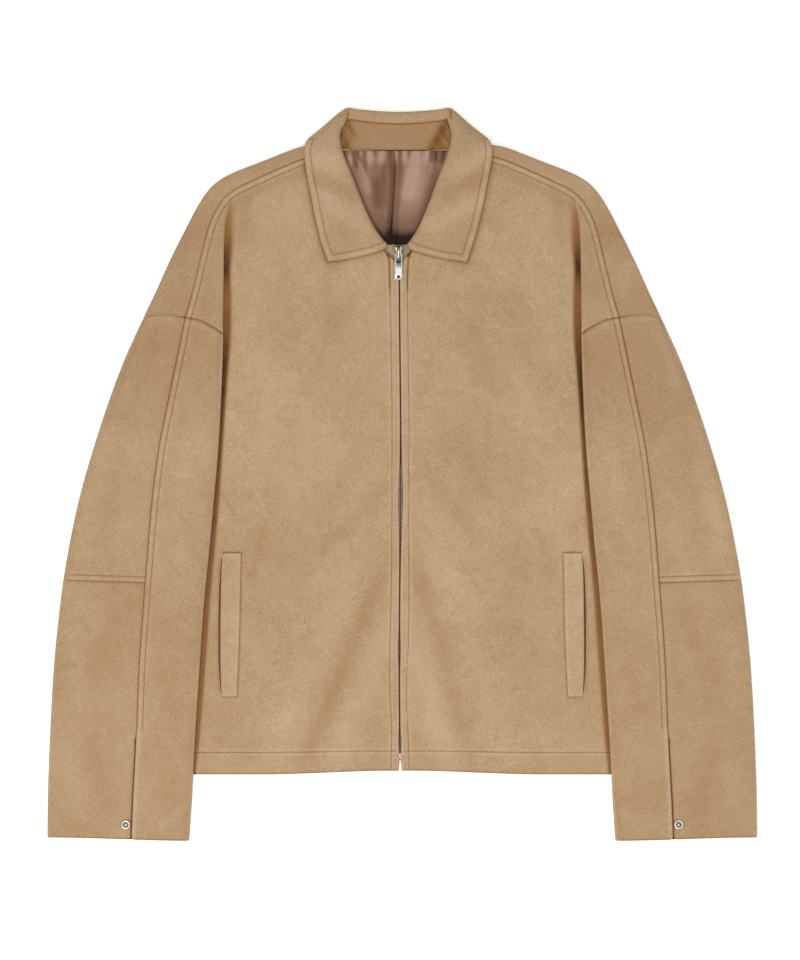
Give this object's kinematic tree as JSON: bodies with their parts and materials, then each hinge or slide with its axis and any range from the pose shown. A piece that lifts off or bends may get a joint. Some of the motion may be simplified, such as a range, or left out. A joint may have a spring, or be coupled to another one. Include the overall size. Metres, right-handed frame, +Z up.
{
  "type": "suede zip jacket, laid flat",
  "caption": "Suede zip jacket with a shirt collar, dropped shoulders, seamed sleeves with cuff snaps and welt pockets, laid flat on its back with the zip closed.",
  "frame": {"origin": "on the underside of the back panel, on the body's centre line, where the jacket rests", "axes": "+X to the right seen from above, +Y towards the collar, +Z up from the surface it lies on"},
  "size_m": [0.754, 0.7772, 0.0153],
  "materials": {
    "suede": "napped, matt, with a soft sheen",
    "lining": "satin",
    "zip_tape": "woven, matt",
    "zip_metal": "polished nickel",
    "snap_metal": "satin nickel"
  },
  "bodies": {
    "jacket": {"back": "suede", "front_left": "suede", "front_right": "suede", "sleeve_front_left": "suede", "sleeve_front_right": "suede", "sleeve_upper_left": "suede", "sleeve_upper_right": "suede", "sleeve_lower_left": "suede", "sleeve_lower_right": "suede", "collar_leaf": "suede", "collar_stand": "suede", "pocket_welt_left": "suede", "pocket_welt_right": "suede", "lining_back": "lining", "zip_tape_left": "zip_tape", "zip_tape_right": "zip_tape", "zip_chain": "zip_metal", "zip_box": "zip_metal", "zip_slider": "zip_metal", "snap_left": "snap_metal", "snap_right": "snap_metal"},
    "pull_tab": {"pull_tab": "zip_metal"}
  },
  "joints": [
    {"name": "pull_tab_swing", "type": "hinge", "parent": "jacket", "child": "pull_tab", "pos_m": [-0.00399, 0.2396, 0.0094], "axis": [-1, 0, 0], "range_deg": [0, 150]}
  ]
}
